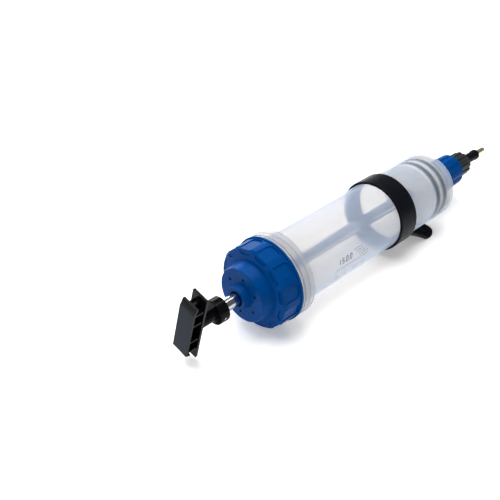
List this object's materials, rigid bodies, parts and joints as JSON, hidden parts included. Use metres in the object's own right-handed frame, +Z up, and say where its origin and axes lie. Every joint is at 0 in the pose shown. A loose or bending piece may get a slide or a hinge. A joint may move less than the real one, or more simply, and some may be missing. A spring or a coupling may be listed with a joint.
{
  "type": "hand vacuum pump",
  "caption": "Hand fluid-extraction pump: clear barrel with blue screw cap, sealed piston on a T-handled rod, and a screwed nozzle with a brass hose nipple.",
  "frame": {"origin": "on the floor under the middle of the pump's length, with the pump lying on its cap rim and band foot", "axes": "+X along the barrel from the T-handle to the nozzle tip, +Z up, +Y completes the right-handed frame"},
  "size_m": [0.586, 0.108, 0.108],
  "materials": {
    "clear_plastic": "milky clear moulded polypropylene",
    "blue_plastic": "satin moulded blue plastic",
    "black_plastic": "satin moulded black plastic",
    "black_gloss_plastic": "glossy moulded black plastic",
    "seal_rubber": "black nitrile rubber",
    "natural_plastic": "grey moulded plastic",
    "chrome": "bright chrome plating",
    "steel": "zinc-plated steel",
    "brass": "turned brass"
  },
  "bodies": {
    "barrel": {"barrel": "clear_plastic", "hanging_band": "black_plastic"},
    "cap_seat": {"cap_seal_ring": "seal_rubber"},
    "cap": {"rear_cap": "blue_plastic", "rod_bush": "natural_plastic", "rod_wiper": "seal_rubber"},
    "piston": {"piston_body": "natural_plastic", "piston_cover": "natural_plastic", "piston_seal_rear": "seal_rubber", "piston_seal_front": "seal_rubber"},
    "plunger": {"plunger_rod": "chrome", "rod_end_plug": "steel", "piston_washer": "steel", "piston_screw": "steel", "t_handle": "black_gloss_plastic", "handle_pin": "steel"},
    "nozzle": {"nozzle_body": "black_plastic", "nozzle_gasket": "seal_rubber", "stem_seal_ring": "seal_rubber", "nozzle_stem": "black_plastic", "brass_nipple": "brass"},
    "nozzle_nut": {"nozzle_nut": "blue_plastic"},
    "grip_ring": {"grip_ring": "natural_plastic"},
    "lock_ring": {"lock_ring": "black_plastic"}
  },
  "joints": [
    {"name": "plunger_slide", "type": "slide", "parent": "barrel", "child": "piston", "axis": [-1, 0, 0], "range_m": [-0.0085, 0.286]},
    {"name": "rod_turn", "type": "hinge", "parent": "piston", "child": "plunger", "pos_m": [0, 0, 0.054], "axis": [1, 0, 0], "continuous": true},
    {"name": "cap_travel", "type": "slide", "parent": "barrel", "child": "cap_seat", "axis": [-1, 0, 0], "range_m": [0, 0.0101]},
    {"name": "cap_turn", "type": "hinge", "parent": "cap_seat", "child": "cap", "pos_m": [-0.206, 0, 0.054], "axis": [-1, 0, 0], "range_deg": [0, 720]},
    {"name": "nozzle_travel", "type": "slide", "parent": "barrel", "child": "nozzle", "axis": [1, 0, 0], "range_m": [0, 0.0091]},
    {"name": "nozzle_nut_turn", "type": "hinge", "parent": "nozzle", "child": "nozzle_nut", "pos_m": [0.192, 0, 0.054], "axis": [1, 0, 0], "range_deg": [0, 1080]},
    {"name": "grip_ring_travel", "type": "slide", "parent": "nozzle", "child": "grip_ring", "axis": [1, 0, 0], "range_m": [0, 0.0061]},
    {"name": "lock_ring_turn", "type": "hinge", "parent": "grip_ring", "child": "lock_ring", "pos_m": [0.222, 0, 0.054], "axis": [1, 0, 0], "range_deg": [0, 1080]}
  ],
  "couplings": [
    {"joint": "cap_travel", "follows": "cap_turn", "m_per_rad": 0.00079577},
    {"joint": "nozzle_travel", "follows": "nozzle_nut_turn", "m_per_rad": 0.00047746},
    {"joint": "grip_ring_travel", "follows": "lock_ring_turn", "m_per_rad": 0.00031831}
  ]
}
